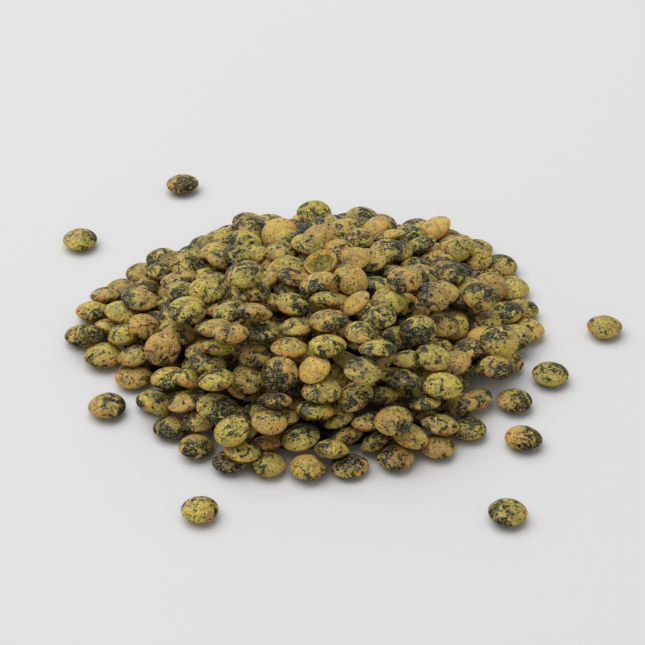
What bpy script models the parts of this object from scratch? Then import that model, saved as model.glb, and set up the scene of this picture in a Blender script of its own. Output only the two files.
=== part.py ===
"""A heap of dry green lentils with a few strays round it, lying on a flat surface.

The heap is one solid: a core with the lentils that show fused on. Each stray is a solid of its
own. The middle of the heap's flat underside is the origin. Lengths are in millimetres until a
mesh is made, and Z points up.
"""

import math

import bmesh
import bpy
import mathutils
import mathutils.bvhtree
import numpy as np

MM = 0.001

# A lentil, as averages of the whole heap.
DIAMETER = 4.7
THICKNESS = 2.25
DIAMETER_SPREAD = 0.055
THICKNESS_SPREAD = 0.07

# The heap: its top, and the height and share of the radius where its low edge starts.
HEAP_HEIGHT = 11.8
EDGE_HEIGHT = 3.0
EDGE_STARTS = 0.93

# How a lentil lies: the lean that it takes, and what it costs to depart from it.
LEAN_SPREAD = 0.22
LEAN_INWARD = 0.20
MOST_LEAN = 1.2
LEAN_COST = 1.6

# The laying: how many places are tried for each lentil, how it then settles, how deep its middle
# lies under the heap's surface at least, as a share of its thickness, below the lentils on top and
# then in the gaps between these, and when the heap is full.
PLACES_TRIED = 160
SETTLING_ROUNDS = 9
TRIES = 36
LEAST_DEPTH = 0.25
GAP_DEPTH = 0.70
MISSES_TO_STOP = 30
SEED = 11

# Lentils lie a little closer than full spheroids would, for their flanks are slimmer.
REST_SHARE = 0.94

# The height map that the lentils are laid on.
CELL = 0.25
HALF_WIDTH = 46.0

# The faceted solids: half the outline from top to bottom, as shares of the radius and of half the
# thickness. A stray has a small flat spot to lie on.
SIDES = 7
COARSE_PROFILE = ((0.0, 1.0), (0.66, 0.78), (1.0, 0.0), (0.0, -1.0))
STRAY_SIDES = 16
STRAY_PROFILE = (
    (0.0, 1.0),
    (0.30, 1.0),
    (0.70, 0.70),
    (0.93, 0.33),
    (1.0, 0.0),
    (0.93, -0.33),
    (0.70, -0.70),
    (0.30, -1.0),
    (0.0, -1.0),
)

# A lentil is fused on when this share of it shows from above.
SHOWN_LEAST = 0.24

# The core: how far it lies under the lentils' tops, and the reach over which those are averaged.
CORE_DEPTH = 1.15
CORE_BLUR = 1.8
CORE_SHARE = 0.90
CORE_SIDES = 24
CORE_RINGS = 6

# Seating on the core: the middle's height over it as a share of the thickness, and the most sink.
SEAT_SHARE = 0.33
MOST_SINK = 2.6
FLOOR_LIFT = 0.05

# The clear ring kept round a stray, and the height that stands for no room to lie there.
STRAY_GAP = 0.4
NO_ROOM = 99.0

# Strays: place about the middle of the heap, and diameter.
STRAYS = {
    "stray_back": (-18.0, 36.4, 4.77),
    "stray_left": (-31.6, 21.8, 4.88),
    "stray_right": (39.6, 0.9, 4.92),
    "stray_right_near": (31.6, -9.6, 4.82),
    "stray_front_left": (-12.3, -36.5, 4.70),
    "stray_front_right": (24.3, -37.0, 4.84),
    "stray_edge_right_low": (27.2, -22.8, 4.75),
    "stray_edge_right_high": (26.6, -15.2, 4.62),
    "stray_edge_left_low": (-24.9, -16.3, 4.90),
}

# The eye of somebody who looks at the heap, the step in height along a line of sight, how far a
# lentil on top sinks in where it meets the others, and the dent left for it as a share of height.
EYE = (2.3, -246.5, 178.3)
SIGHT_STEP = 0.1
TOP_SINK = 0.15
TOP_DENT = 0.19

# Lentils on top that stand out: the point of the floor that each hides from that eye, diameter,
# and how far its axis leans right and back.
TOP_LENTILS = (
    (2.1, 17.3, 4.5, -0.2, -0.3),
    (6.2, 13.4, 4.7, 0.3, -0.45),
    (1.5, 12.7, 4.8, -0.4, 0.2),
    (-7.4, 10.8, 5.4, 0.05, 0.1),
    (2.8, 8.4, 4.8, 0.1, 0.5),
    (6.8, 7.7, 4.3, -0.75, 0.1),
    (-8.4, 14.6, 4.9, 0.0, -0.1),
    (-13.3, 11.0, 5.1, 0.0, -0.1),
    (-15.9, 6.1, 5.0, 0.0, -0.2),
    (-10.1, 5.8, 4.6, -0.2, 0.1),
    (-1.8, 7.5, 4.6, 0.2, 0.0),
    (23.7, 9.4, 4.7, 0.1, -0.3),
    (11.3, 8.4, 4.5, 0.0, -0.3),
    (9.9, 4.7, 4.6, 0.0, 0.0),
    (7.5, 1.0, 4.4, 0.0, 0.0),
    (-18.7, -2.6, 4.7, -0.1, -0.75),
    (25.7, -0.8, 5.1, 0.1, -0.4),
    (-15.1, -8.9, 4.6, 0.15, 0.25),
    (-7.2, -9.2, 4.6, 0.1, -0.35),
    (-6.5, -3.9, 4.5, 0.0, -0.1),
    (1.4, -15.9, 4.9, 0.1, 0.35),
    (12.6, -9.4, 4.6, 0.1, 0.2),
    (6.4, -13.0, 5.0, -0.3, -0.15),
    (25.0, -6.8, 4.6, 0.1, 0.0),
    (11.3, -18.0, 4.9, -0.1, -0.15),
    (-11.2, -15.5, 4.95, 0.1, -0.3),
    (-9.0, -20.0, 4.8, -0.35, -0.3),
    (-4.4, -18.2, 4.8, 0.0, 0.05),
    (2.2, -11.7, 5.1, 0.0, 0.0),
    (-3.8, -13.8, 4.5, 0.0, 0.5),
    (-12.7, -5.9, 4.9, 0.15, 0.2),
    (-11.4, -2.1, 4.7, 0.0, 0.4),
    (-12.0, 2.1, 4.7, -0.1, 0.45),
    (-6.1, 0.8, 5.2, 0.0, 0.35),
    (-6.9, 5.6, 5.1, 0.1, 0.6),
    (-1.4, 2.1, 4.4, 0.0, 0.2),
    (-2.1, -2.4, 4.6, 0.0, 0.15),
    (-3.3, -8.1, 4.75, 0.0, -0.65),
    (1.2, -7.2, 4.3, -0.35, -0.25),
    (3.0, -1.9, 4.9, 0.0, 0.1),
    (3.2, 3.7, 5.1, -0.1, 0.1),
    (15.0, 1.5, 4.8, -0.1, -0.4),
    (9.6, -2.8, 4.8, 0.0, 0.3),
    (16.7, -4.6, 4.8, 0.1, -0.1),
    (17.7, -10.7, 5.1, 0.0, -0.05),
    (13.5, 13.4, 4.6, -0.1, -0.2),
    (17.3, 9.4, 4.5, 0.2, -0.4),
)

# The last lentils, over the deepest gaps in front, written in the same way.
LAST_LENTILS = (
    (7.5, -7.4, 4.7, 0.1, -0.1),
    (-11.4, -9.4, 4.6, -0.1, 0.1),
    (-9.9, 0.9, 4.7, 0.0, 0.2),
)


def rim_radius(angle):
    """Distance from the middle of the heap to its uneven edge."""
    left_bulge = 1.7 * np.exp(-((np.cos(angle) + 1) ** 2) / 0.045**2)
    right_bulge = 2.2 * np.exp(-((np.cos(angle) - 1) ** 2) / 0.01**2)
    return (
        30.2
        + 1.7 * np.cos(angle)
        - 0.4 * np.sin(angle)
        + 0.6 * np.sin(2 * angle)
        + 1.0 * np.sin(3 * angle)
        - 0.9 * np.cos(3 * angle)
        + 0.4 * np.sin(5 * angle)
        - 0.8 * np.cos(5 * angle)
        + left_bulge
        + right_bulge
    )


def heap_surface(x, y):
    """Height of the heap's top at a point: a rounded cone, and nothing outside the edge."""
    share = np.hypot(x, y) / rim_radius(np.arctan2(y, x))
    rounded = np.sqrt(share**2 + 0.2**2) - 0.2
    foot = math.sqrt(EDGE_STARTS**2 + 0.2**2) - 0.2
    rise = np.clip(1 - rounded / foot, 0.0, 1.0)
    height = EDGE_HEIGHT + (HEAP_HEIGHT - EDGE_HEIGHT) * rise
    return np.where(share < 1, height, 0.0)


def on_sight_line(floor_x, floor_y, height):
    """Points at some heights on the line from a point of the floor to the eye."""
    share = height / EYE[2]
    return floor_x + (EYE[0] - floor_x) * share, floor_y + (EYE[1] - floor_y) * share


def first_met(floor_x, floor_y, surface):
    """Where the line of sight to a point of the floor first comes under a surface."""
    heights = np.arange(HEAP_HEIGHT + 5.0, 0.5, -SIGHT_STEP)
    x, y = on_sight_line(floor_x, floor_y, heights)
    met = int(np.argmax(surface(x, y) >= heights))
    return x[met], y[met], heights[met]


def surface_to_fill(x, y):
    """The heap's surface with a dent left for each of the lentils that go on top."""
    dent = np.zeros_like(x)
    for top_x, top_y in TOP_PLACES:
        near = (x - top_x) ** 2 + (y - top_y) ** 2
        dent = np.maximum(dent, TOP_DENT * np.exp(-near / 2.3**2))
    return heap_surface(x, y) * (1 - dent)


TOP_PLACES = tuple(first_met(top[0], top[1], heap_surface)[:2] for top in TOP_LENTILS)


class Lentil:
    """One lentil: its size, the direction of its axis, and the place of its middle."""

    def __init__(self, diameter, thickness, place, axis=(0.0, 0.0, 1.0), turn=0.0):
        self.diameter = diameter
        self.thickness = thickness
        self.place = np.array(place, float)
        self.axis = np.array(axis, float)
        self.turn = turn
        self.shown = 0.0


class HeightMap:
    """The top of everything laid so far, as heights over a square grid of cells."""

    def __init__(self):
        self.count = int(2 * HALF_WIDTH / CELL)
        self.heights = np.zeros((self.count, self.count))
        self.owner = np.full((self.count, self.count), -1)

    def patches(self, x, y, reach):
        """For each of some points, the cells within reach of it and their offsets from it."""
        cells = int(math.ceil(reach / CELL))
        steps = np.arange(-cells, cells + 1)
        rows = ((y + HALF_WIDTH) / CELL).astype(int)[:, None, None] + steps[None, :, None]
        columns = ((x + HALF_WIDTH) / CELL).astype(int)[:, None, None] + steps[None, None, :]
        across = (columns + 0.5) * CELL - HALF_WIDTH - x[:, None, None]
        along = (rows + 0.5) * CELL - HALF_WIDTH - y[:, None, None]
        return rows, columns, across, along

    def patch(self, x, y, reach):
        """The same for one point."""
        return (part[0] for part in self.patches(np.array([x]), np.array([y]), reach))


def spheroid_faces(diameter, thickness, axis, across, along):
    """Heights of a lentil's lower and upper face over the offsets, and where it covers them."""
    radius = diameter / 2
    half = thickness / 2
    extra = 1 / half**2 - 1 / radius**2
    level = axis[0] * across + axis[1] * along
    a = 1 / radius**2 + extra * axis[2] ** 2
    b = extra * axis[2] * level
    c = (across**2 + along**2) / radius**2 + extra * level**2 - 1
    inside = b * b - a * c
    covered = inside > 0
    root = np.sqrt(np.where(covered, inside, 0.0))
    return (-b - root) / a, (-b + root) / a, covered


def resting_heights(ground, x, y, lean_x, lean_y, fit):
    """Heights of a lentil's middle when it is lowered at each of some places with its axis leaning."""
    axis = np.stack([lean_x, lean_y, np.ones_like(lean_x)])
    axis /= np.linalg.norm(axis, axis=0)
    rows, columns, across, along = ground.patches(x, y, fit[0] / 2)
    lower, _, covered = spheroid_faces(*fit, axis[:, :, None, None], across, along)
    gap = np.where(covered, ground.heights[rows, columns] - lower, -np.inf)
    return gap.max(axis=(1, 2)), axis


def settle(ground, draw, place, lean, fit, surface, reach=1.0):
    """Shifts and leans a lentil a little at a time while it sinks below a surface."""
    state = np.array([*place, *lean])
    step = np.array([0.5, 0.5, 0.25, 0.25]) * reach
    for _ in range(SETTLING_ROUNDS):
        tries = state + step * draw.normal(0.0, 1.0, (TRIES, 4))
        tries[0] = state
        step = 0.74 * step
        x, y, lean_x, lean_y = tries.T
        heights, axis = resting_heights(ground, x, y, lean_x, lean_y, fit)
        effort = heights - surface(x, y) + LEAN_COST * np.hypot(lean_x - lean[0], lean_y - lean[1])
        effort[np.hypot(x, y) > rim_radius(np.arctan2(y, x)) - 0.47 * fit[0]] = NO_ROOM
        effort[np.hypot(lean_x, lean_y) > MOST_LEAN] = NO_ROOM
        best = int(np.argmin(effort))
        state = tries[best]
    return state[0], state[1], heights[best], axis[:, best]


def lay(ground, lentils, found, diameter, thickness, turn):
    """Adds a settled lentil to the heap and raises the height map by it."""
    x, y, height, axis = found
    fit = (REST_SHARE * diameter, REST_SHARE * thickness)
    rows, columns, across, along = ground.patch(x, y, fit[0] / 2)
    lower, upper, covered = spheroid_faces(*fit, axis, across, along)
    tops = ground.heights[rows, columns]
    raised = covered & (height + upper > tops)
    ground.heights[rows, columns] = np.where(raised, height + upper, tops)
    ground.owner[rows, columns] = np.where(raised, len(lentils), ground.owner[rows, columns])
    lentils.append(Lentil(diameter, thickness, (x, y, height), axis, turn))


def rest_in_sight(ground, floor_x, floor_y, lean, fit):
    """Where a leaning lentil first meets the heap as it comes down the line of sight."""

    def resting(x, y):
        return resting_heights(ground, x, y, np.full_like(x, lean[0]), np.full_like(x, lean[1]), fit)[0]

    _, _, height = first_met(floor_x, floor_y, resting)
    height = max(height - TOP_SINK, 0.5 * fit[1])
    x, y = on_sight_line(floor_x, floor_y, height)
    axis = np.array([lean[0], lean[1], 1.0])
    return x, y, height, axis / np.linalg.norm(axis)


def random_size(draw):
    """Diameter and thickness of one more lentil."""
    diameter = DIAMETER * (1 + DIAMETER_SPREAD * draw.normal())
    thickness = THICKNESS * (1 + THICKNESS_SPREAD * draw.normal())
    return diameter, thickness


def lay_edge_row(ground, draw, lentils):
    """A loose row of lentils flat on the floor along the heap's edge."""
    angle = 0.0
    level = np.zeros(1)
    while angle < 2 * math.pi - 0.12:
        diameter, thickness = random_size(draw)
        radius = float(rim_radius(angle)) - 0.5 * diameter - draw.uniform(0.0, 1.3)
        x = np.array([radius * math.cos(angle)])
        y = np.array([radius * math.sin(angle)])
        heights, _ = resting_heights(ground, x, y, level, level, (diameter, thickness))
        if heights[0] < 0.6 * thickness:
            found = (x[0], y[0], 0.5 * REST_SHARE * thickness, np.array([0.0, 0.0, 1.0]))
            lay(ground, lentils, found, diameter, thickness, draw.uniform(0.0, 2 * math.pi))
        angle += (diameter + draw.uniform(-0.1, 1.1)) / radius


def deepest_place(ground, draw, fit, surface):
    """Of some places over the footprint, the one where a lentil would lie deepest, and its lean."""
    angle = draw.uniform(-math.pi, math.pi, PLACES_TRIED)
    radius = (rim_radius(angle) - 0.5 * DIAMETER) * np.sqrt(draw.uniform(0.0, 1.0, PLACES_TRIED))
    x = radius * np.cos(angle)
    y = radius * np.sin(angle)
    lean_x = draw.normal(0.0, LEAN_SPREAD, PLACES_TRIED) - LEAN_INWARD * np.cos(angle)
    lean_y = draw.normal(0.0, LEAN_SPREAD, PLACES_TRIED) - LEAN_INWARD * np.sin(angle)
    heights, _ = resting_heights(ground, x, y, lean_x, lean_y, fit)
    best = int(np.argmax(surface(x, y) - heights))
    return (x[best], y[best]), (lean_x[best], lean_y[best])


def keep_clear_of_strays(ground):
    """Raises the height map round each stray, so that no lentil of the heap is laid there."""
    for x, y, diameter in STRAYS.values():
        rows, columns, across, along = ground.patch(x, y, diameter)
        near = np.hypot(across, along) < diameter / 2 + STRAY_GAP
        ground.heights[rows, columns] = np.where(near, NO_ROOM, ground.heights[rows, columns])


def fill_up(ground, draw, lentils, surface, least_depth):
    """Lays lentils where they lie deepest, until few more would lie deep enough under a surface."""
    misses = 0
    while misses < MISSES_TO_STOP:
        diameter, thickness = random_size(draw)
        fit = (REST_SHARE * diameter, REST_SHARE * thickness)
        place, lean = deepest_place(ground, draw, fit, surface)
        found = settle(ground, draw, place, lean, fit, surface)
        turn = draw.uniform(0.0, 2 * math.pi)
        if surface(found[0], found[1]) - found[2] < least_depth * thickness:
            misses += 1
            continue
        misses = 0
        lay(ground, lentils, found, diameter, thickness, turn)


def lay_by_hand(ground, draw, lentils, rows):
    """Lays the lentils of some rows, each where its line of sight meets the heap."""
    for floor_x, floor_y, diameter, lean_x, lean_y in rows:
        thickness = THICKNESS / DIAMETER * diameter
        fit = (REST_SHARE * diameter, REST_SHARE * thickness)
        found = rest_in_sight(ground, floor_x, floor_y, (lean_x, lean_y), fit)
        lay(ground, lentils, found, diameter, thickness, draw.uniform(0.0, 2 * math.pi))


def lay_heap():
    """All the lentils of the heap, from the bottom up."""
    draw = np.random.default_rng(SEED)
    ground = HeightMap()
    keep_clear_of_strays(ground)
    lentils = []
    lay_edge_row(ground, draw, lentils)
    fill_up(ground, draw, lentils, surface_to_fill, LEAST_DEPTH)
    tallest = ground.heights == NO_ROOM
    ground.heights[tallest] = 0.0
    lay_by_hand(ground, draw, lentils, TOP_LENTILS)
    ground.heights[tallest] = NO_ROOM
    fill_up(ground, draw, lentils, heap_surface, GAP_DEPTH)
    lay_by_hand(ground, draw, lentils, LAST_LENTILS)
    for number, lentil in enumerate(lentils):
        area = (ground.owner == number).sum() * CELL**2
        lentil.shown = area / (math.pi * lentil.diameter**2 / 4)
    return lentils, ground


def profile_mesh(name, points, material):
    """Half the outline of a turned lens, from the top of its axis down its outer side."""
    corners = [(across, 0.0, up) for across, up in points]
    lines = [(place, place + 1) for place in range(len(points) - 1)]
    data = bpy.data.meshes.new(name)
    data.from_pydata(corners, lines, [])
    data.materials.append(material)
    return data


def lens_object(name, lentil, sides, profile):
    """A lens turned from the shared profile, at the lentil's place, lean and size."""
    lens = bpy.data.objects.new(name, profile)
    turned = lens.modifiers.new("turned", "SCREW")
    turned.steps = sides
    turned.render_steps = sides
    turned.use_merge_vertices = True
    turned.merge_threshold = 0.0001
    upright = mathutils.Vector((0.0, 0.0, 1.0))
    spin = mathutils.Quaternion(upright, lentil.turn)
    lean = upright.rotation_difference(mathutils.Vector(lentil.axis))
    lens.location = mathutils.Vector(lentil.place) * MM
    lens.rotation_euler = (lean @ spin).to_euler()
    radius = lentil.diameter / 2 * MM
    lens.scale = (radius, radius, lentil.thickness / 2 * MM)
    return lens


def smoothed_height(ground, x, y):
    """Mean height of the laid lentils round a point."""
    rows, columns, across, along = ground.patch(x, y, CORE_BLUR)
    near = (np.hypot(across, along) < CORE_BLUR) & (ground.heights[rows, columns] < NO_ROOM)
    return float(ground.heights[rows, columns][near].mean())


def core_object(name, ground, material):
    """The core: half a ball, drawn out to the uneven edge and pressed to lie under the lentils."""
    mesh = bmesh.new()
    bmesh.ops.create_uvsphere(mesh, u_segments=CORE_SIDES, v_segments=2 * CORE_RINGS + 2, radius=1.0)
    whole = mesh.verts[:] + mesh.edges[:] + mesh.faces[:]
    bmesh.ops.bisect_plane(mesh, geom=whole, dist=0.0001, plane_no=(0.0, 0.0, 1.0), clear_inner=True)
    bmesh.ops.holes_fill(mesh, edges=[edge for edge in mesh.edges if edge.is_boundary])
    for corner in mesh.verts:
        angle = math.atan2(corner.co.y, corner.co.x)
        down = math.acos(min(corner.co.z, 1.0)) / (math.pi / 2)
        share = CORE_SHARE * min(down * (CORE_RINGS + 1) / CORE_RINGS, 1.0)
        reach = share * float(rim_radius(angle))
        x = reach * math.cos(angle)
        y = reach * math.sin(angle)
        height = 0.0
        if down < 0.99:
            height = max(smoothed_height(ground, x, y) - CORE_DEPTH, 0.5)
        corner.co = (x * MM, y * MM, height * MM)
    bmesh.ops.recalc_face_normals(mesh, faces=mesh.faces)
    data = bpy.data.meshes.new(name)
    mesh.to_mesh(data)
    mesh.free()
    data.materials.append(material)
    return bpy.data.objects.new(name, data)


def seat_on_core(core_tree, lentil):
    """Lifts a lentil clear of the floor, and lowers one that hangs clear of the core."""
    x, y, height = lentil.place
    above = mathutils.Vector((x, y, 3 * HEAP_HEIGHT)) * MM
    hit = core_tree.ray_cast(above, mathutils.Vector((0.0, 0.0, -1.0)))[0]
    lentil.place[2] = height + FLOOR_LIFT
    if hit:
        highest = hit.z / MM + SEAT_SHARE * lentil.thickness
        lentil.place[2] = min(height + FLOOR_LIFT, max(highest, height - MOST_SINK))


def fuse(core, pieces):
    """Joins the pieces of a collection to the core, and drops the pieces."""
    union = core.modifiers.new("lentils", "BOOLEAN")
    union.operation = "UNION"
    union.operand_type = "COLLECTION"
    union.collection = pieces
    union.solver = "EXACT"
    union.use_self = True
    bpy.context.view_layer.update()
    graph = bpy.context.evaluated_depsgraph_get()
    fused = bpy.data.meshes.new_from_object(core.evaluated_get(graph))
    core.modifiers.clear()
    core.data = fused
    for piece in list(pieces.objects):
        bpy.data.objects.remove(piece)
    bpy.data.collections.remove(pieces)
    keep_largest_shell(fused)
    fused.shade_smooth()
    fused.set_sharp_from_angle(angle=math.radians(30))


def shell_of(start, left):
    """The faces joined to a face, taken out of those that are left."""
    left.remove(start)
    shell = {start}
    edge_of_shell = [start]
    while edge_of_shell:
        face = edge_of_shell.pop()
        for edge in face.edges:
            for other in edge.link_faces:
                if other in left:
                    left.remove(other)
                    shell.add(other)
                    edge_of_shell.append(other)
    return shell


def keep_largest_shell(data):
    """Removes loose scraps and the walls of sealed hollows, which fills these."""
    mesh = bmesh.new()
    mesh.from_mesh(data)
    left = set(mesh.faces)
    shells = []
    while left:
        shells.append(shell_of(next(iter(left)), left))
    shells.sort(key=len)
    loose = [face for shell in shells[:-1] for face in shell]
    bmesh.ops.delete(mesh, geom=loose, context="FACES")
    mesh.to_mesh(data)
    mesh.free()


def lentil_material(name, colour):
    """A satin dry coat in one plain colour."""
    material = bpy.data.materials.new(name)
    material.use_nodes = True
    shader = material.node_tree.nodes["Principled BSDF"]
    shader.inputs["Base Color"].default_value = (*colour, 1.0)
    shader.inputs["Roughness"].default_value = 0.55
    shader.inputs["Metallic"].default_value = 0.0
    return material


def new_collection(name):
    """A collection in the scene."""
    collection = bpy.data.collections.new(name)
    bpy.context.scene.collection.children.link(collection)
    return collection


def clear_scene():
    """Removes whatever the startup file holds."""
    for item in list(bpy.data.objects):
        bpy.data.objects.remove(item)


def lentils_to_join(lentils, core, material):
    """A collection of coarse lenses, one for each lentil that shows, seated on the core."""
    pieces = new_collection("lentils_to_join")
    pieces.hide_render = True
    profile = profile_mesh("coarse_lens", COARSE_PROFILE, material)
    tree = mathutils.bvhtree.BVHTree.FromPolygons(
        [corner.co for corner in core.data.vertices],
        [face.vertices for face in core.data.polygons],
    )
    for number, lentil in enumerate(lentils):
        seat_on_core(tree, lentil)
        piece = lens_object("piece_%03d" % number, lentil, SIDES, profile)
        piece.hide_render = True
        piece.display_type = "WIRE"
        pieces.objects.link(piece)
    return pieces


def main():
    clear_scene()
    parts = new_collection("heap_of_dry_lentils")
    lentils, ground = lay_heap()
    shown = [lentil for lentil in lentils if lentil.shown > SHOWN_LEAST]
    coat = lentil_material("heap_coat", (0.175, 0.155, 0.055))
    heap = core_object("lentil_heap", ground, coat)
    parts.objects.link(heap)
    fuse(heap, lentils_to_join(shown, heap, coat))
    for name, (x, y, diameter) in STRAYS.items():
        stray_coat = lentil_material(name + "_coat", (0.19, 0.165, 0.055))
        profile = profile_mesh(name, STRAY_PROFILE, stray_coat)
        stray = Lentil(diameter, THICKNESS, (x, y, THICKNESS / 2))
        parts.objects.link(lens_object(name, stray, STRAY_SIDES, profile))
    print(len(lentils), "lentils,", len(shown), "fused,", len(heap.data.polygons), "faces")


if __name__ == "__main__":
    main()
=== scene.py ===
"""A heap of dry green lentils on a pale surface, each lentil a smooth lens with a mottled coat.

The lentils are laid by the same seeded rule as in the part's source, so each lies where its coarse
solid does. Lengths are in millimetres until a mesh is made, and Z points up.
"""

import math

import bmesh
import bpy
import mathutils
import numpy as np
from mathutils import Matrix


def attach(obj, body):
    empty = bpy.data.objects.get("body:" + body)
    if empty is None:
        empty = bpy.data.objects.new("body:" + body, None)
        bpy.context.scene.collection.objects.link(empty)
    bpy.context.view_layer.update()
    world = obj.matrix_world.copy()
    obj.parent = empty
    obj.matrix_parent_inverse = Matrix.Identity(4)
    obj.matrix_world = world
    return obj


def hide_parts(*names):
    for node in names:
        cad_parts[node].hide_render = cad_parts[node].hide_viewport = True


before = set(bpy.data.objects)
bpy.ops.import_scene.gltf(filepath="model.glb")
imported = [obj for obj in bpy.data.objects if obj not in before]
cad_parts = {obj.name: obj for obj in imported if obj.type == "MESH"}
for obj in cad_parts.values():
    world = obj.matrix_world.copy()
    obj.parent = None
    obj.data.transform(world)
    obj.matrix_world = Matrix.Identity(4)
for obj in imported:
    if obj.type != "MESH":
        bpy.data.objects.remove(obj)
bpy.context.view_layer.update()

MM = 0.001

# The values from here to the height map, those of the strays and of the lentils on top, and the
# rules that lay the heap are the same as in the part's source.

# A lentil: its usual size, and how much that spreads, as a share.
DIAMETER = 4.7
THICKNESS = 2.25
DIAMETER_SPREAD = 0.055
THICKNESS_SPREAD = 0.07

# The heap: how high its surface is at the summit and at the edge, the share of the way out where
# the edge's height starts, how round the summit is, and how far the heap is lifted off the floor.
HEAP_HEIGHT = 11.8
EDGE_HEIGHT = 3.0
EDGE_STARTS = 0.93
SUMMIT_ROUNDING = 0.2
FLOOR_LIFT = 0.05

# The row along the edge: how far inward a lentil may lie, the least and the widest gap, the angle
# left at its end, and how high a middle may be, in thicknesses, for a lentil to count as flat.
ROW_INSET = 1.3
ROW_GAPS = (-0.1, 1.1)
ROW_END = 0.12
ROW_FLAT = 0.6

# How lentils lean at first, at random and toward the middle of the heap, how far at most, and what
# leaning further costs in millimetres of height.
LEAN_SPREAD = 0.22
LEAN_INWARD = 0.20
MOST_LEAN = 1.2
LEAN_COST = 1.6

# Settling: places tried for each lentil, then rounds of small random shifts and leans, the tries
# in a round, the first steps in x, y and both leans, and how the steps shrink from round to round.
PLACES_TRIED = 160
SETTLING_ROUNDS = 9
TRIES = 36
FIRST_STEPS = (0.5, 0.5, 0.25, 0.25)
STEP_SHRINK = 0.74

# How close a lentil's middle may come to the edge, in diameters, and the share of their size at
# which lentils rest on each other.
INSIDE_EDGE = 0.47
REST_SHARE = 0.94

# How deep a middle has to lie under the surface, in thicknesses, in the first filling and in the
# gaps between the lentils on top, and how many misses in a row end a filling.
LEAST_DEPTH = 0.25
GAP_DEPTH = 0.70
MISSES_TO_STOP = 30

# The start of the random draws for the laying.
SEED = 11

# The height map: its cells, half its width, the gap kept round a stray, and the height that
# keeps lentils out.
CELL = 0.25
HALF_WIDTH = 46.0
STRAY_GAP = 0.4
NO_ROOM = 99.0

# The smooth lens: sides round it, rings from pole to pole, and how sharp its rim is.
LENS_SIDES = 28
LENS_RINGS = 14
RIM_SHARPNESS = 0.70

# How uneven a lens is, in shares of its radius and half thickness: its narrowest width, two waves
# of its outline, how lopsided and how warped its faces are, and the depth, the width and the
# farthest place of the dent in each face.
NARROWEST = 0.93
OUTLINE_WAVES = (0.014, 0.010)
LOPSIDED = 0.07
WARPED = 0.05
DENT_DEPTH = 0.12
DENT_WIDTH = 0.35
DENT_PLACE = 0.6

# The hollow half: the height of its inside in the middle, how much that rises to the rim, and its
# axis, because it opens upward, to the left and a little forward.
HOLLOW_MIDDLE = -0.42
HOLLOW_RISE = 0.86
HOLLOW_AXIS = (-0.30, -0.12, 0.95)

# The core, painted near-black as the shade deep between the lentils, well inside the solid one: how
# far the tops of the lentils are smoothed for it, its depth under them, its share of the way out to
# the edge, its heights at the foot and just inside it, and its sides and rings.
CORE_BLUR = 1.8
CORE_DEPTH = 5.6
CORE_SHARE = 0.76
CORE_FOOT = 0.1
CORE_LEAST = 0.3
CORE_SIDES = 60
CORE_RINGS = 20

# The start of the random draws for the looks, how far apart in its pattern two coats may be, and
# the usual tone of a coat and how much it spreads, from 0 to 1.
LOOKS_SEED = 5
PATTERN_REACH = 90.0
USUAL_TONE = 0.5
TONE_SPREAD = 0.22

# Kinds of coat, and the share of the heap that each makes up.
KIND_SHARES = {"dark": 0.42, "olive": 0.40, "ochre": 0.16, "pale": 0.02}

# Mottled coats: the light and the warm colour of the ground, how much dark clumps cover, and the
# strength of small flecks and of worn places. Colours are as seen on a screen, from 0 to 255.
MOTTLED_COATS = {
    "dark": ((222, 202, 96), (228, 188, 102), 0.126, 0.90, 0.45),
    "olive": ((222, 202, 96), (230, 196, 104), 0.070, 0.90, 0.50),
    "ochre": ((224, 192, 98), (222, 178, 96), 0.036, 0.85, 0.50),
    "pale": ((236, 200, 106), (236, 194, 100), -0.16, 0.25, 0.20),
}
GREY_HAZE = (138, 138, 98)
WORN_BROWN = (134, 112, 84)
RIM_ORANGE = (210, 148, 74)
# The thin rim line: partly the coat's own pale tan, partly a painted highlight on the edge.
RIM_TAN_AND_HIGHLIGHT = (222, 170, 98)
CLUMP_SHADE = (100, 104, 62)
CLUMP_DARK = (16, 22, 27)
CLUMP_LIGHT = (40, 48, 50)
FLECK_DARK = (22, 28, 30)
DOT_DARK = (36, 40, 42)
DIM_BROWN = (64, 60, 46)

# How much of a coat's colour its finest shade lets through, in red, green and blue.
FINE_SHADE = (0.57, 0.58, 0.52)

# The hollow half's inside, rim and flecks, and the core's painted shade, near-black brown.
INSIDE_COLOURS = ((108, 98, 36), (150, 136, 56))
GOLDEN_COLOURS = ((200, 158, 74), (222, 184, 92))
HOLLOW_FLECK = (40, 40, 30)
# The core's colours are painted shade, as deep between the lentils of a heap.
CORE_SHADE_COLOURS = ((13, 10, 6), (30, 25, 14))

# The relief of a lentil's coat: its strength, and its height in metres.
RELIEF = (0.32, 0.00012)

# The floor: its colour in the renderer's linear values, half its width, and how far it lies below
# the strays, so that the two never share a plane.
FLOOR_COLOUR = (0.74, 0.74, 0.745)
FLOOR_HALF = 3000.0
FLOOR_DROP = 0.02

# Light: the strength of the surroundings, and a lamp by place and size in metres, and watts.
SURROUNDINGS = 0.41
LAMP_PLACE = (-0.42, 0.34, 1.18)
LAMP_SIZE = 1.8
LAMP_POWER = 18.2

# Camera: its height above the floor as an angle, its distance, the point that it looks at, the
# nearest that it sees, and its lens, from the focal length and the picture's width in pixels.
CAMERA_ELEVATION = math.radians(35.5)
CAMERA_DISTANCE = 307.0
CAMERA_TARGET = (2.3, 3.4, 0.0)
NEAREST_SEEN = 10.0
SENSOR_WIDTH = 36
FOCAL_PIXELS = 2300
PICTURE_PIXELS = 645
CAMERA_LENS = FOCAL_PIXELS * SENSOR_WIDTH / PICTURE_PIXELS

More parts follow.
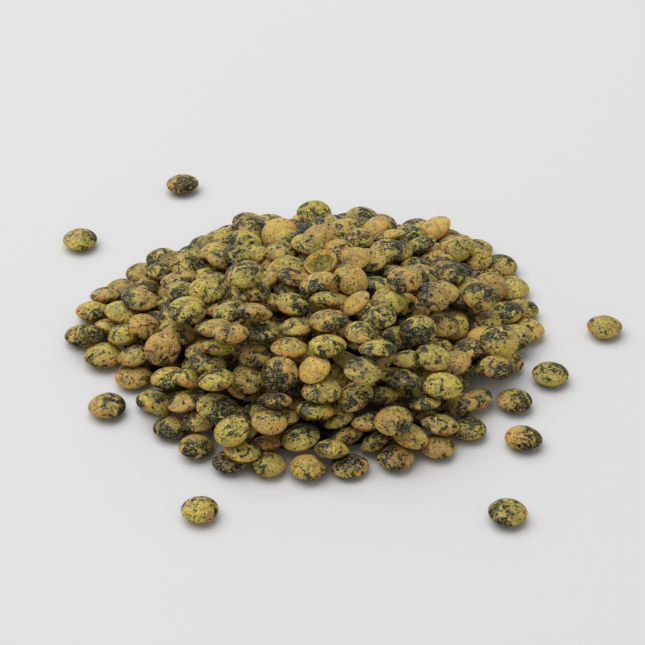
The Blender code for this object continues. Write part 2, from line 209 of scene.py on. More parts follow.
# Strays: place, diameter, kind of coat and turn in degrees.
STRAYS = {
    "stray_back": (-18.0, 36.4, 4.77, "dark", 20),
    "stray_left": (-31.6, 21.8, 4.88, "olive", 200),
    "stray_right": (39.6, 0.9, 4.92, "olive", 80),
    "stray_right_near": (31.6, -9.6, 4.82, "olive", 140),
    "stray_front_left": (-12.3, -36.5, 4.70, "dark", 260),
    "stray_front_right": (24.3, -37.0, 4.84, "olive", 310),
    "stray_edge_right_low": (27.2, -22.8, 4.75, "ochre", 0),
    "stray_edge_right_high": (26.6, -15.2, 4.62, "dark", 40),
    "stray_edge_left_low": (-24.9, -16.3, 4.90, "ochre", 170),
}

# The camera's place, from which lentils on top are laid along their lines of sight. A line is
# followed down in steps of height, from a way above the summit to a little above the floor.
EYE = (2.3, -246.5, 178.3)
SIGHT_STEP = 0.1
SIGHT_ABOVE = 5.0
SIGHT_END = 0.5

# How far a lentil on top sinks in where it meets the others, and the dent that the filling leaves
# for it: its depth as a share of the height there, and its radius.
TOP_SINK = 0.15
TOP_DENT = 0.19
TOP_DENT_RADIUS = 2.3

# Lentils on top that stand out, those at the summit first: the point of the floor that each hides
# from the eye, its diameter, how far its axis leans right and back, and its kind.
TOP_LENTILS = (
    (2.1, 17.3, 4.5, -0.2, -0.3, "hollow"),
    (6.2, 13.4, 4.7, 0.3, -0.45, "ochre"),
    (1.5, 12.7, 4.8, -0.4, 0.2, "ochre"),
    (-7.4, 10.8, 5.4, 0.05, 0.1, "olive"),
    (2.8, 8.4, 4.8, 0.1, 0.5, "olive"),
    (6.8, 7.7, 4.3, -0.75, 0.1, "pale"),
    (-8.4, 14.6, 4.9, 0.0, -0.1, "dark"),
    (-13.3, 11.0, 5.1, 0.0, -0.1, "dark"),
    (-15.9, 6.1, 5.0, 0.0, -0.2, "olive"),
    (-10.1, 5.8, 4.6, -0.2, 0.1, "olive"),
    (-1.8, 7.5, 4.6, 0.2, 0.0, "dark"),
    (23.7, 9.4, 4.7, 0.1, -0.3, "dark"),
    (11.3, 8.4, 4.5, 0.0, -0.3, "olive"),
    (9.9, 4.7, 4.6, 0.0, 0.0, "dark"),
    (7.5, 1.0, 4.4, 0.0, 0.0, "dark"),
    (-18.7, -2.6, 4.7, -0.1, -0.75, "ochre"),
    (25.7, -0.8, 5.1, 0.1, -0.4, "olive"),
    (-15.1, -8.9, 4.6, 0.15, 0.25, "olive"),
    (-7.2, -9.2, 4.6, 0.1, -0.35, "olive"),
    (-6.5, -3.9, 4.5, 0.0, -0.1, "olive"),
    (1.4, -15.9, 4.9, 0.1, 0.35, "olive"),
    (12.6, -9.4, 4.6, 0.1, 0.2, "dark"),
    (6.4, -13.0, 5.0, -0.3, -0.15, "olive"),
    (25.0, -6.8, 4.6, 0.1, 0.0, "dark"),
    (11.3, -18.0, 4.9, -0.1, -0.15, "ochre"),
    (-11.2, -15.5, 4.95, 0.1, -0.3, "olive"),
    (-9.0, -20.0, 4.8, -0.35, -0.3, "olive"),
    (-4.4, -18.2, 4.8, 0.0, 0.05, "ochre"),
    (2.2, -11.7, 5.1, 0.0, 0.0, "olive"),
    (-3.8, -13.8, 4.5, 0.0, 0.5, "dark"),
    (-12.7, -5.9, 4.9, 0.15, 0.2, "dark"),
    (-11.4, -2.1, 4.7, 0.0, 0.4, "dark"),
    (-12.0, 2.1, 4.7, -0.1, 0.45, "ochre"),
    (-6.1, 0.8, 5.2, 0.0, 0.35, "olive"),
    (-6.9, 5.6, 5.1, 0.1, 0.6, "dark"),
    (-1.4, 2.1, 4.4, 0.0, 0.2, "olive"),
    (-2.1, -2.4, 4.6, 0.0, 0.15, "ochre"),
    (-3.3, -8.1, 4.75, 0.0, -0.65, "dark"),
    (1.2, -7.2, 4.3, -0.35, -0.25, "pale"),
    (3.0, -1.9, 4.9, 0.0, 0.1, "olive"),
    (3.2, 3.7, 5.1, -0.1, 0.1, "dark"),
    (15.0, 1.5, 4.8, -0.1, -0.4, "dark"),
    (9.6, -2.8, 4.8, 0.0, 0.3, "olive"),
    (16.7, -4.6, 4.8, 0.1, -0.1, "olive"),
    (17.7, -10.7, 5.1, 0.0, -0.05, "olive"),
    (13.5, 13.4, 4.6, -0.1, -0.2, "ochre"),
    (17.3, 9.4, 4.5, 0.2, -0.4, "ochre"),
)

# The last lentils, over the deepest gaps that were left, written in the same way.
LAST_LENTILS = (
    (7.5, -7.4, 4.7, 0.1, -0.1, "dark"),
    (-11.4, -9.4, 4.6, -0.1, 0.1, "olive"),
    (-9.9, 0.9, 4.7, 0.0, 0.2, "ochre"),
)


def rim_radius(angle):
    """Distance from the middle of the heap to its uneven edge, with a bulge at either side."""
    left_bulge = 1.7 * np.exp(-((np.cos(angle) + 1) ** 2) / 0.045**2)
    right_bulge = 2.2 * np.exp(-((np.cos(angle) - 1) ** 2) / 0.01**2)
    return (
        30.2
        + 1.7 * np.cos(angle)
        - 0.4 * np.sin(angle)
        + 0.6 * np.sin(2 * angle)
        + 1.0 * np.sin(3 * angle)
        - 0.9 * np.cos(3 * angle)
        + 0.4 * np.sin(5 * angle)
        - 0.8 * np.cos(5 * angle)
        + left_bulge
        + right_bulge
    )


def heap_surface(x, y):
    """Height of the heap's top at a point: a rounded cone, and nothing outside the edge."""
    share = np.hypot(x, y) / rim_radius(np.arctan2(y, x))
    rounded = np.sqrt(share**2 + SUMMIT_ROUNDING**2) - SUMMIT_ROUNDING
    foot = math.sqrt(EDGE_STARTS**2 + SUMMIT_ROUNDING**2) - SUMMIT_ROUNDING
    rise = np.clip(1 - rounded / foot, 0.0, 1.0)
    height = EDGE_HEIGHT + (HEAP_HEIGHT - EDGE_HEIGHT) * rise
    return np.where(share < 1, height, 0.0)


def on_sight_line(floor_x, floor_y, height):
    """Points at some heights on the line from a point of the floor to the eye."""
    share = height / EYE[2]
    return floor_x + (EYE[0] - floor_x) * share, floor_y + (EYE[1] - floor_y) * share


def first_met(floor_x, floor_y, surface):
    """Where the line of sight to a point of the floor first comes under a surface."""
    heights = np.arange(HEAP_HEIGHT + SIGHT_ABOVE, SIGHT_END, -SIGHT_STEP)
    x, y = on_sight_line(floor_x, floor_y, heights)
    met = int(np.argmax(surface(x, y) >= heights))
    return x[met], y[met], heights[met]


def surface_to_fill(x, y):
    """The heap's surface with a dent left for each of the lentils that go on top."""
    dent = np.zeros_like(x)
    for top_x, top_y in TOP_PLACES:
        near = (x - top_x) ** 2 + (y - top_y) ** 2
        dent = np.maximum(dent, TOP_DENT * np.exp(-near / TOP_DENT_RADIUS**2))
    return heap_surface(x, y) * (1 - dent)


# Where the line of sight to each of the lentils on top meets the heap's surface.
TOP_PLACES = tuple(first_met(top[0], top[1], heap_surface)[:2] for top in TOP_LENTILS)


class Lentil:
    """One lentil: its size, the place of its middle, the turn about its axis, kind and axis."""

    def __init__(self, diameter, thickness, place, turn, kind, axis=(0.0, 0.0, 1.0)):
        self.diameter = diameter
        self.thickness = thickness
        self.place = np.array(place, float)
        self.turn = turn
        self.kind = kind
        self.axis = np.array(axis, float)


class HeightMap:
    """The top of everything laid so far, as heights over a square grid of cells."""

    def __init__(self):
        count = int(2 * HALF_WIDTH / CELL)
        self.heights = np.zeros((count, count))

    def patches(self, x, y, reach):
        """For each of some points, the cells within reach of it and their offsets from it."""
        cells = int(math.ceil(reach / CELL))
        steps = np.arange(-cells, cells + 1)
        rows = ((y + HALF_WIDTH) / CELL).astype(int)[:, None, None] + steps[None, :, None]
        columns = ((x + HALF_WIDTH) / CELL).astype(int)[:, None, None] + steps[None, None, :]
        across = (columns + 0.5) * CELL - HALF_WIDTH - x[:, None, None]
        along = (rows + 0.5) * CELL - HALF_WIDTH - y[:, None, None]
        return rows, columns, across, along

    def patch(self, x, y, reach):
        """The same for one point."""
        return (part[0] for part in self.patches(np.array([x]), np.array([y]), reach))


def spheroid_faces(diameter, thickness, axis, across, along):
    """Heights of a lentil's lower and upper face over the offsets, and where it covers them."""
    radius = diameter / 2
    half = thickness / 2
    extra = 1 / half**2 - 1 / radius**2
    level = axis[0] * across + axis[1] * along
    a = 1 / radius**2 + extra * axis[2] ** 2
    b = extra * axis[2] * level
    c = (across**2 + along**2) / radius**2 + extra * level**2 - 1
    inside = b * b - a * c
    covered = inside > 0
    root = np.sqrt(np.where(covered, inside, 0.0))
    return (-b - root) / a, (-b + root) / a, covered


def resting_heights(ground, x, y, lean_x, lean_y, fit):
    """Heights of a lentil's middle when it is lowered at each of some places with its axis leaning."""
    axis = np.stack([lean_x, lean_y, np.ones_like(lean_x)])
    axis /= np.linalg.norm(axis, axis=0)
    rows, columns, across, along = ground.patches(x, y, fit[0] / 2)
    lower, _, covered = spheroid_faces(*fit, axis[:, :, None, None], across, along)
    gap = np.where(covered, ground.heights[rows, columns] - lower, -np.inf)
    return gap.max(axis=(1, 2)), axis


def settle(ground, draw, place, lean, fit, surface):
    """Shifts and leans a lentil a little at a time while it sinks below a surface."""
    state = np.array([*place, *lean])
    step = np.array(FIRST_STEPS)
    for _ in range(SETTLING_ROUNDS):
        tries = state + step * draw.normal(0.0, 1.0, (TRIES, 4))
        tries[0] = state
        step = STEP_SHRINK * step
        x, y, lean_x, lean_y = tries.T
        heights, axis = resting_heights(ground, x, y, lean_x, lean_y, fit)
        effort = heights - surface(x, y) + LEAN_COST * np.hypot(lean_x - lean[0], lean_y - lean[1])
        effort[np.hypot(x, y) > rim_radius(np.arctan2(y, x)) - INSIDE_EDGE * fit[0]] = NO_ROOM
        effort[np.hypot(lean_x, lean_y) > MOST_LEAN] = NO_ROOM
        best = int(np.argmin(effort))
        state = tries[best]
    return state[0], state[1], heights[best], axis[:, best]


def lay(ground, lentils, found, diameter, thickness, turn, kind=None):
    """Adds a settled lentil to the heap and raises the height map by it."""
    x, y, height, axis = found
    fit = (REST_SHARE * diameter, REST_SHARE * thickness)
    rows, columns, across, along = ground.patch(x, y, fit[0] / 2)
    _, upper, covered = spheroid_faces(*fit, axis, across, along)
    tops = ground.heights[rows, columns]
    raised = covered & (height + upper > tops)
    ground.heights[rows, columns] = np.where(raised, height + upper, tops)
    lentils.append(Lentil(diameter, thickness, (x, y, height), turn, kind, axis))


def rest_in_sight(ground, floor_x, floor_y, lean, fit):
    """Where a leaning lentil first meets the heap as it comes down the line of sight."""

    def resting(x, y):
        lean_x = np.full_like(x, lean[0])
        lean_y = np.full_like(x, lean[1])
        heights, _ = resting_heights(ground, x, y, lean_x, lean_y, fit)
        return heights

    _, _, height = first_met(floor_x, floor_y, resting)
    height = max(height - TOP_SINK, 0.5 * fit[1])
    x, y = on_sight_line(floor_x, floor_y, height)
    axis = np.array([lean[0], lean[1], 1.0])
    return x, y, height, axis / np.linalg.norm(axis)


def random_size(draw):
    """Diameter and thickness of one more lentil."""
    diameter = DIAMETER * (1 + DIAMETER_SPREAD * draw.normal())
    thickness = THICKNESS * (1 + THICKNESS_SPREAD * draw.normal())
    return diameter, thickness


def lay_edge_row(ground, draw, lentils):
    """A loose row of lentils flat on the floor along the heap's edge."""
    angle = 0.0
    level = np.zeros(1)
    while angle < 2 * math.pi - ROW_END:
        diameter, thickness = random_size(draw)
        radius = float(rim_radius(angle)) - 0.5 * diameter - draw.uniform(0.0, ROW_INSET)
        x = np.array([radius * math.cos(angle)])
        y = np.array([radius * math.sin(angle)])
        heights, _ = resting_heights(ground, x, y, level, level, (diameter, thickness))
        if heights[0] < ROW_FLAT * thickness:
            found = (x[0], y[0], 0.5 * REST_SHARE * thickness, np.array([0.0, 0.0, 1.0]))
            lay(ground, lentils, found, diameter, thickness, draw.uniform(0.0, 2 * math.pi))
        angle += (diameter + draw.uniform(*ROW_GAPS)) / radius


def deepest_place(ground, draw, fit, surface):
    """Of some places over the footprint, the one where a lentil would lie deepest, and its lean."""
    angle = draw.uniform(-math.pi, math.pi, PLACES_TRIED)
    radius = (rim_radius(angle) - 0.5 * DIAMETER) * np.sqrt(draw.uniform(0.0, 1.0, PLACES_TRIED))
    x = radius * np.cos(angle)
    y = radius * np.sin(angle)
    lean_x = draw.normal(0.0, LEAN_SPREAD, PLACES_TRIED) - LEAN_INWARD * np.cos(angle)
    lean_y = draw.normal(0.0, LEAN_SPREAD, PLACES_TRIED) - LEAN_INWARD * np.sin(angle)
    heights, _ = resting_heights(ground, x, y, lean_x, lean_y, fit)
    best = int(np.argmax(surface(x, y) - heights))
    return (x[best], y[best]), (lean_x[best], lean_y[best])


def keep_clear_of_strays(ground):
    """Raises the height map round each stray, so that no lentil of the heap is laid there."""
    for x, y, diameter, _, _ in STRAYS.values():
        rows, columns, across, along = ground.patch(x, y, diameter)
        near = np.hypot(across, along) < diameter / 2 + STRAY_GAP
        ground.heights[rows, columns] = np.where(near, NO_ROOM, ground.heights[rows, columns])


def fill_up(ground, draw, lentils, surface, least_depth):
    """Lays lentils where they lie deepest, until few more would lie deep enough under a surface."""
    misses = 0
    while misses < MISSES_TO_STOP:
        diameter, thickness = random_size(draw)
        fit = (REST_SHARE * diameter, REST_SHARE * thickness)
        place, lean = deepest_place(ground, draw, fit, surface)
        found = settle(ground, draw, place, lean, fit, surface)
        turn = draw.uniform(0.0, 2 * math.pi)
        if surface(found[0], found[1]) - found[2] < least_depth * thickness:
            misses += 1
            continue
        misses = 0
        lay(ground, lentils, found, diameter, thickness, turn)


def lay_by_hand(ground, draw, lentils, rows):
    """Lays the lentils of some rows, each where its line of sight meets the heap."""
    for floor_x, floor_y, diameter, lean_x, lean_y, kind in rows:
        thickness = THICKNESS / DIAMETER * diameter
        fit = (REST_SHARE * diameter, REST_SHARE * thickness)
        found = rest_in_sight(ground, floor_x, floor_y, (lean_x, lean_y), fit)
        lay(ground, lentils, found, diameter, thickness, draw.uniform(0.0, 2 * math.pi), kind)


def lay_heap():
    """All the lentils of the heap, from the bottom up, and the height map over them."""
    draw = np.random.default_rng(SEED)
    ground = HeightMap()
    keep_clear_of_strays(ground)
    lentils = []
    lay_edge_row(ground, draw, lentils)
    fill_up(ground, draw, lentils, surface_to_fill, LEAST_DEPTH)
    # Lines of sight would end at what keeps lentils off the strays, so it is taken away meanwhile.
    kept_clear = ground.heights == NO_ROOM
    ground.heights[kept_clear] = 0.0
    lay_by_hand(ground, draw, lentils, TOP_LENTILS)
    ground.heights[kept_clear] = NO_ROOM
    fill_up(ground, draw, lentils, heap_surface, GAP_DEPTH)
    lay_by_hand(ground, draw, lentils, LAST_LENTILS)
    return lentils, ground


def lens_grid():
    """Angle round the lens and angle down from its upper pole, for each point, and the faces."""
    around = [0.0]
    down = [0.0]
    for ring in range(1, LENS_RINGS):
        for side in range(LENS_SIDES):
            around.append(2 * math.pi * side / LENS_SIDES)
            down.append(math.pi * ring / LENS_RINGS)
    around.append(0.0)
    down.append(math.pi)
    last = len(down) - 1
    faces = []
    for side in range(LENS_SIDES):
        after = (side + 1) % LENS_SIDES
        faces.append((0, 1 + side, 1 + after))
        for ring in range(LENS_RINGS - 2):
            upper = 1 + ring * LENS_SIDES
            lower = upper + LENS_SIDES
            faces.append((upper + side, lower + side, lower + after, upper + after))
        lowest = 1 + (LENS_RINGS - 2) * LENS_SIDES
        faces.append((last, lowest + after, lowest + side))
    return np.array(around), np.array(down), faces


def lens_shape(lentil, around, down, draw):
    """Points of one uneven lens in its own frame, in shares of its radius and half thickness."""
    share = np.sin(down)
    flank = np.abs(np.cos(down)) ** (2 * RIM_SHARPNESS)
    face = np.sign(np.cos(down))
    height = face * flank
    if lentil.kind == "hollow":
        height = np.where(face > 0, HOLLOW_MIDDLE + HOLLOW_RISE * share**3, height)
    oval = draw.uniform(NARROWEST, 1.0)
    bulge_ways = draw.uniform(0.0, 2 * math.pi, 3)
    long_wave = OUTLINE_WAVES[0] * np.cos(2 * (around - bulge_ways[0]))
    short_wave = OUTLINE_WAVES[1] * np.cos(3 * (around - bulge_ways[1]))
    outline = 1 + long_wave + short_wave
    x = share * np.cos(around) * outline
    y = share * np.sin(around) * outline * oval
    lopsided = LOPSIDED * draw.normal() * x + LOPSIDED * draw.normal() * y
    dent_x, dent_y = draw.uniform(-DENT_PLACE, DENT_PLACE, 2)
    near = (x - dent_x) ** 2 + (y - dent_y) ** 2
    dent = DENT_DEPTH * draw.uniform(0.0, 1.0) * np.exp(-near / DENT_WIDTH**2)
    warp = WARPED * draw.normal() * (x * x - y * y)
    height = height * (1 + lopsided) - face * dent * flank + warp
    return np.stack([x, y, height], axis=1), share


def rotation_of(lentil):
    """The turn about the lentil's axis, and the lean of the axis, as a matrix."""
    upright = mathutils.Vector((0.0, 0.0, 1.0))
    spin = mathutils.Quaternion(upright, lentil.turn)
    lean = upright.rotation_difference(mathutils.Vector(lentil.axis))
    return np.array((lean @ spin).to_matrix())


def lentils_object(name, lentils, draw, material):
    """One mesh of smooth lenses, with the values that their coats are drawn from.

    These are a place in the coat's pattern, the share of the way out to the rim and over to one
    side, and three random tones of the whole lentil.
    """
    around, down, faces = lens_grid()
    points = []
    all_faces = []
    coat = []
    zone = []
    tone = []
    for lentil in lentils:
        shape, share = lens_shape(lentil, around, down, draw)
        size = np.array([lentil.diameter, lentil.diameter, lentil.thickness]) / 2
        local = shape * size
        first = len(points) * len(down)
        points.append((local @ rotation_of(lentil).T + lentil.place) * MM)
        all_faces.extend(tuple(first + corner for corner in face) for face in faces)
        coat.append(local + draw.uniform(0.0, PATTERN_REACH, 3))
        way = draw.uniform(0.0, 2 * math.pi)
        side = shape[:, 0] * math.cos(way) + shape[:, 1] * math.sin(way)
        zone.append(np.stack([share, side, np.zeros_like(side)], axis=1))
        tones = np.clip(draw.normal(USUAL_TONE, TONE_SPREAD, 3), 0.0, 1.0)
        tone.append(np.tile(tones, (len(down), 1)))
    data = bpy.data.meshes.new(name)
    data.from_pydata(np.concatenate(points).tolist(), [], all_faces)
    for layer, values in (("coat", coat), ("zone", zone), ("tone", tone)):
        attribute = data.attributes.new(layer, "FLOAT_VECTOR", "POINT")
        attribute.data.foreach_set("vector", np.concatenate(values).astype(np.float32).ravel())
    data.shade_smooth()
    data.materials.append(material)
    item = bpy.data.objects.new(name, data)
    bpy.context.scene.collection.objects.link(item)
    return item


def smoothed_height(ground, x, y):
    """Mean height of the laid lentils round a point."""
    rows, columns, across, along = ground.patch(x, y, CORE_BLUR)
    near = (np.hypot(across, along) < CORE_BLUR) & (ground.heights[rows, columns] < NO_ROOM)
    return float(ground.heights[rows, columns][near].mean())


def core_object(name, ground, material):
    """The core, painted dark as shade: half a ball, drawn out inside the edge and pressed to lie under
    the lentils.
    """
    mesh = bmesh.new()
    bmesh.ops.create_uvsphere(mesh, u_segments=CORE_SIDES, v_segments=2 * CORE_RINGS + 2, radius=1.0)
    whole = mesh.verts[:] + mesh.edges[:] + mesh.faces[:]
    bmesh.ops.bisect_plane(mesh, geom=whole, dist=0.0001, plane_no=(0.0, 0.0, 1.0), clear_inner=True)
    bmesh.ops.holes_fill(mesh, edges=[edge for edge in mesh.edges if edge.is_boundary])
    # The last two rings lie one over the other, which gives the core a low upright side.
    for corner in mesh.verts:
        angle = math.atan2(corner.co.y, corner.co.x)
        down = math.acos(min(corner.co.z, 1.0)) / (math.pi / 2)
        share = CORE_SHARE * min(down * (CORE_RINGS + 1) / CORE_RINGS, 1.0)
        reach = share * float(rim_radius(angle))
        x = reach * math.cos(angle)
        y = reach * math.sin(angle)
        at_foot = down > 0.99
        height = CORE_FOOT
        if not at_foot:
            height = max(smoothed_height(ground, x, y) - CORE_DEPTH, CORE_LEAST)
        corner.co = (x * MM, y * MM, height * MM)
    bmesh.ops.recalc_face_normals(mesh, faces=mesh.faces)
    data = bpy.data.meshes.new(name)
    mesh.to_mesh(data)
    mesh.free()
    data.shade_smooth()
    data.materials.append(material)
    item = bpy.data.objects.new(name, data)
    bpy.context.scene.collection.objects.link(item)
    return item


def linear(red, green, blue):
    """A colour as seen on a screen, 0 to 255, in the renderer's linear values."""
    values = [channel / 255 for channel in (red, green, blue)]
    return tuple(v / 12.92 if v <= 0.04045 else ((v + 0.055) / 1.055) ** 2.4 for v in values)


class Coat:
    """A material under construction, with short names for the nodes that the coats use."""

    def __init__(self, name):
        self.material = bpy.data.materials.new(name)
        self.material.use_nodes = True
        self.nodes = self.material.node_tree.nodes
        self.links = self.material.node_tree.links
        self.shader = self.nodes["Principled BSDF"]

    def put(self, socket, value):
        """Links a value that comes from a node, or sets a plain one."""
        if isinstance(value, bpy.types.NodeSocket):
            self.links.new(value, socket)
        elif isinstance(value, tuple):
            socket.default_value = (*value, 1.0)
        else:
            socket.default_value = value

    def stored(self, name):
        """The three values that the mesh holds under a name, as one vector."""
        node = self.nodes.new("ShaderNodeAttribute")
        node.attribute_name = name
        return node.outputs["Vector"]

    def stored_apart(self, name):
        """The same three values one by one, as X, Y and Z."""
        node = self.nodes.new("ShaderNodeSeparateXYZ")
        self.links.new(self.stored(name), node.inputs["Vector"])
        return node.outputs

    def noise(self, place, scale, detail=2.0, roughness=0.5, distortion=0.0):
        """Cloudy noise round one half, with scale in features per unit of the place."""
        cloud = self.nodes.new("ShaderNodeTexNoise")
        self.links.new(place, cloud.inputs["Vector"])
        cloud.inputs["Scale"].default_value = scale
        cloud.inputs["Detail"].default_value = detail
        cloud.inputs["Roughness"].default_value = roughness
        cloud.inputs["Distortion"].default_value = distortion
        return cloud.outputs["Fac"]

    def dots(self, place, scale):
        """Distance to the nearest of scattered points, and a random value for each."""
        cells = self.nodes.new("ShaderNodeTexVoronoi")
        self.links.new(place, cells.inputs["Vector"])
        cells.inputs["Scale"].default_value = scale
        apart = self.nodes.new("ShaderNodeSeparateColor")
        self.links.new(cells.outputs["Color"], apart.inputs["Color"])
        return cells.outputs["Distance"], apart.outputs["Red"]

    def calc(self, operation, first, second=0.0, third=0.0):
        """One sum on values."""
        node = self.nodes.new("ShaderNodeMath")
        node.operation = operation
        self.put(node.inputs[0], first)
        self.put(node.inputs[1], second)
        self.put(node.inputs[2], third)
        return node.outputs["Value"]

    def step(self, value, low, high):
        """A soft step from 0 at low to 1 at high."""
        node = self.nodes.new("ShaderNodeMapRange")
        node.interpolation_type = "SMOOTHSTEP"
        self.put(node.inputs["Value"], value)
        self.put(node.inputs["From Min"], low)
        self.put(node.inputs["From Max"], high)
        return node.outputs["Result"]

    def scaled(self, value, by, plus):
        """A value times another, plus a third."""
        return self.calc("MULTIPLY_ADD", value, by, plus)

    def mix(self, share, first, second, blend="MIX"):
        """Two colours mixed by a share. The node's colours are its inputs 6 and 7 and output 2."""
        node = self.nodes.new("ShaderNodeMix")
        node.data_type = "RGBA"
        node.blend_type = blend
        self.put(node.inputs["Factor"], share)
        self.put(node.inputs[6], first)
        self.put(node.inputs[7], second)
        return node.outputs[2]

    def tint(self, ground, share, strength, colour):
        """The ground with a screen colour over it where a share says so, up to some strength."""
        return self.mix(self.calc("MULTIPLY", share, strength), ground, linear(*colour))

    def two_tone(self, value, low, high, colours):
        """A colour that goes from one screen colour to another as a value steps up."""
        first, second = colours
        return self.mix(self.step(value, low, high), linear(*first), linear(*second))

    def surface(self, colour, roughness, shine=0.5):
        """The colour, roughness and shine of the finished surface."""
        self.put(self.shader.inputs["Base Color"], colour)
        self.put(self.shader.inputs["Roughness"], roughness)
        self.put(self.shader.inputs["Specular IOR Level"], shine)

    def bump(self, height, strength, distance):
        """A relief on the surface, with distance in metres."""
        node = self.nodes.new("ShaderNodeBump")
        node.inputs["Strength"].default_value = strength
        node.inputs["Distance"].default_value = distance
        self.links.new(height, node.inputs["Height"])
        self.links.new(node.outputs["Normal"], self.shader.inputs["Normal"])


def plain_ground(coat, place, tone, fine, colours, worn):
    """The ground, from olive-yellow to ochre, with greyer clouds and browner worn places.

    Here and in the other coats, scales are in features per millimetre.
    """
    drift = coat.noise(place, scale=0.32, detail=1.0)
    warmth = coat.calc("ADD", drift, coat.scaled(tone, 0.5, -0.25))
    ground = coat.two_tone(warmth, 0.36, 0.66, colours)
    haze = coat.step(coat.noise(place, scale=0.8, distortion=0.6), 0.48, 0.64)
    ground = coat.tint(ground, haze, 0.50, GREY_HAZE)
    clouds = coat.noise(place, scale=0.55, detail=3.0, roughness=0.6, distortion=0.8)
    ground = coat.tint(ground, coat.step(clouds, 0.50, 0.64), worn, WORN_BROWN)
    darker = coat.mix(1.0, ground, FINE_SHADE, "MULTIPLY")
    return coat.mix(coat.step(fine, 0.32, 0.62), darker, ground)


def tan_rim_and_highlight(coat, place, ground, rim):
    """A thin tan line along the rim, partly a painted highlight, and orange stretches that reach a
    little further in.
    """
    stretch = coat.step(coat.noise(place, scale=0.45, detail=1.0), 0.51, 0.59)
    orange = coat.calc("MULTIPLY", coat.step(rim, 0.84, 0.94), stretch)
    ground = coat.tint(ground, orange, 0.80, RIM_ORANGE)
    # The pale line along the edge is partly the coat's colour and partly a painted highlight.
    return coat.tint(ground, coat.step(rim, 0.955, 0.99), 0.28, RIM_TAN_AND_HIGHLIGHT)


def dark_clumps(coat, place, ground, side, tone, fine, cover):
    """Ragged near-black clumps with thin veins left in them, and olive-green shade round them."""
    clouds = coat.noise(place, scale=0.66, detail=3.0, roughness=0.6, distortion=0.8)
    ragged = coat.noise(place, scale=2.6, roughness=0.6, distortion=0.5)
    darkness = coat.calc("ADD", clouds, coat.scaled(ragged, 0.28, -0.14))
    darkness = coat.scaled(side, 0.12, darkness)
    darkness = coat.scaled(tone, 0.14, darkness)
    shade = coat.step(darkness, 0.58 - cover, 0.72 - cover)
    ground = coat.tint(ground, shade, 0.50, CLUMP_SHADE)
    winding = coat.noise(place, scale=1.35, distortion=1.3)
    veins = coat.calc("ABSOLUTE", coat.calc("SUBTRACT", winding, 0.5))
    solid = coat.scaled(coat.step(veins, 0.020, 0.044), 0.85, 0.15)
    clump = coat.calc("MULTIPLY", coat.step(darkness, 0.694 - cover, 0.710 - cover), solid)
    slate = coat.two_tone(fine, 0.40, 0.60, (CLUMP_DARK, CLUMP_LIGHT))
    return coat.mix(coat.calc("MULTIPLY", clump, 0.97), ground, slate)


def small_flecks(coat, place, ground, strength):
    """Small dark flecks in some stretches, and scattered round dots."""
    flecks = coat.step(coat.noise(place, scale=2.7, detail=1.0, distortion=0.4), 0.610, 0.645)
    where = coat.step(coat.noise(place, scale=0.6, detail=1.0), 0.36, 0.50)
    ground = coat.tint(ground, coat.calc("MULTIPLY", flecks, where), strength, FLECK_DARK)
    distance, chance = coat.dots(place, scale=1.5)
    dot = coat.calc("MULTIPLY", coat.step(distance, 0.22, 0.15), coat.step(chance, 0.50, 0.55))
    return coat.tint(ground, dot, 0.85, DOT_DARK)


def lentil_coat(name, light, warm, cover, flecked, worn):
    """A mottled coat: a light ground, a tan rim with a painted highlight on its edge, ragged dark
    clumps and small flecks.
    """
    coat = Coat(name)
    place = coat.stored("coat")
    zone = coat.stored_apart("zone")
    tone = coat.stored_apart("tone")
    fine = coat.noise(place, scale=4.4, roughness=0.6, distortion=0.6)
    ground = plain_ground(coat, place, tone["Y"], fine, (light, warm), worn)
    ground = tan_rim_and_highlight(coat, place, ground, zone["X"])
    ground = dark_clumps(coat, place, ground, zone["Y"], tone["X"], fine, cover)
    ground = small_flecks(coat, place, ground, flecked)
    # Each lentil is a little lighter or darker than the next.
    dim = coat.scaled(tone["Z"], -0.22, 0.22)
    ground = coat.mix(dim, ground, linear(*DIM_BROWN))
    coat.surface(ground, roughness=coat.scaled(fine, 0.20, 0.24), shine=0.12)
    grain = coat.noise(place, scale=4.5)
    swell = coat.noise(place, scale=1.3)
    coat.bump(coat.scaled(grain, 0.40, swell), *RELIEF)
    return coat.material


def hollow_coat():
    """A hollow half: a thick golden rim with dark flecks round a darker olive inside."""
    coat = Coat("coat_hollow")
    place = coat.stored("coat")
    rim = coat.stored_apart("zone")["X"]
    clouds = coat.noise(place, scale=1.2, detail=3.0)
    inside = coat.two_tone(clouds, 0.40, 0.60, INSIDE_COLOURS)
    golden = coat.two_tone(clouds, 0.42, 0.58, GOLDEN_COLOURS)
    ground = coat.mix(coat.step(rim, 0.76, 0.84), inside, golden)
    flecks = coat.noise(place, scale=3.2, roughness=0.6, distortion=0.4)
    ground = coat.tint(ground, coat.step(flecks, 0.56, 0.60), 0.80, HOLLOW_FLECK)
    coat.surface(ground, roughness=coat.scaled(clouds, 0.20, 0.36), shine=0.16)
    coat.bump(clouds, *RELIEF)
    return coat.material


def core_material():
    """Painted shade, dark brown as between lentils deep in a heap, with its pattern scaled per metre.
    """
    coat = Coat("core_painted_shade")
    position = coat.nodes.new("ShaderNodeTexCoord").outputs["Object"]
    clouds = coat.noise(position, scale=450.0, detail=3.0)
    colour = coat.two_tone(clouds, 0.4, 0.6, CORE_SHADE_COLOURS)
    coat.surface(colour, roughness=coat.scaled(clouds, 0.2, 0.7))
    coat.bump(clouds, strength=0.5, distance=0.0004)
    return coat.material


def coat_materials():
    """The coats by kind."""
    coats = {kind: lentil_coat("coat_" + kind, *values) for kind, values in MOTTLED_COATS.items()}
    coats["hollow"] = hollow_coat()
    return coats


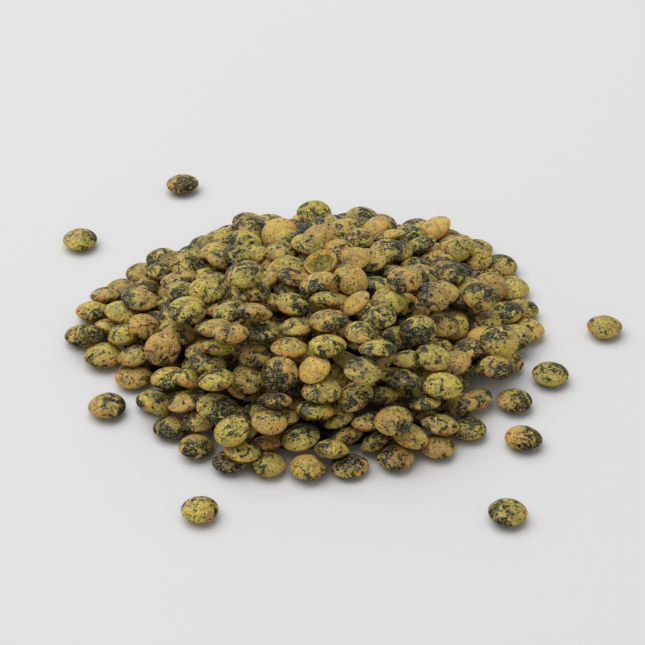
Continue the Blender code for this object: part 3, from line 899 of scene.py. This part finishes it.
def floor_object():
    """A plain pale surface that reaches past every view."""
    half = FLOOR_HALF * MM
    corners = [(-half, -half, 0), (half, -half, 0), (half, half, 0), (-half, half, 0)]
    data = bpy.data.meshes.new("floor")
    data.from_pydata(corners, [], [(0, 1, 2, 3)])
    floor = bpy.data.objects.new("floor", data)
    floor.location.z = -FLOOR_DROP * MM
    bpy.context.scene.collection.objects.link(floor)
    paint = Coat("pale_surface")
    paint.surface(FLOOR_COLOUR, roughness=0.6, shine=0.2)
    data.materials.append(paint.material)
    return floor


def soft_lamp():
    """A square lamp that faces the heap from behind on the left."""
    light = bpy.data.lights.new("key", "AREA")
    light.size = LAMP_SIZE
    light.energy = LAMP_POWER
    lamp = bpy.data.objects.new("key", light)
    lamp.location = LAMP_PLACE
    lamp.rotation_euler = (-mathutils.Vector(LAMP_PLACE)).to_track_quat("-Z", "Y").to_euler()
    bpy.context.scene.collection.objects.link(lamp)


def white_surroundings():
    """Even white light from all round."""
    world = bpy.data.worlds.new("studio")
    world.use_nodes = True
    background = world.node_tree.nodes["Background"]
    background.inputs["Color"].default_value = (1.0, 1.0, 1.0, 1.0)
    background.inputs["Strength"].default_value = SURROUNDINGS
    bpy.context.scene.world = world


def aim_camera():
    """The photograph's viewpoint."""
    camera = bpy.data.objects.new("camera", bpy.data.cameras.new("camera"))
    camera.data.sensor_width = SENSOR_WIDTH
    camera.data.lens = CAMERA_LENS
    camera.data.clip_start = NEAREST_SEEN * MM
    back = mathutils.Vector((0.0, -math.cos(CAMERA_ELEVATION), math.sin(CAMERA_ELEVATION)))
    camera.location = (mathutils.Vector(CAMERA_TARGET) + CAMERA_DISTANCE * back) * MM
    camera.rotation_euler = (math.pi / 2 - CAMERA_ELEVATION, 0.0, 0.0)
    bpy.context.scene.collection.objects.link(camera)
    bpy.context.scene.camera = camera
    bpy.context.scene.view_settings.view_transform = "Standard"


def main():
    """Builds the looks round the frame."""
    coats = coat_materials()
    lentils, ground = lay_heap()
    looks = np.random.default_rng(LOOKS_SEED)
    kinds = list(KIND_SHARES)
    for lentil in lentils:
        lentil.place[2] += FLOOR_LIFT
        kind = looks.choice(kinds, p=list(KIND_SHARES.values()))
        lentil.kind = lentil.kind or str(kind)
        if lentil.kind == "hollow":
            lentil.axis = np.array(HOLLOW_AXIS)
    # The core is painted near-black, as the shade between lentils deep in the heap.
    core = core_object("heap_core", ground, core_material())
    pieces = [core]
    for kind, material in coats.items():
        chosen = [lentil for lentil in lentils if lentil.kind == kind]
        pieces.append(lentils_object("lentils_" + kind, chosen, looks, material))
    for piece in pieces:
        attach(piece, "root")
        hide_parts("lentil_heap")
    for name, (x, y, diameter, kind, turn) in STRAYS.items():
        stray = Lentil(diameter, THICKNESS, (x, y, THICKNESS / 2), math.radians(turn), kind)
        piece = lentils_object(name + "_coat", [stray], looks, coats[kind])
        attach(piece, "root")
        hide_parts(name)
    floor_object()
    white_surroundings()
    soft_lamp()
    aim_camera()


main()
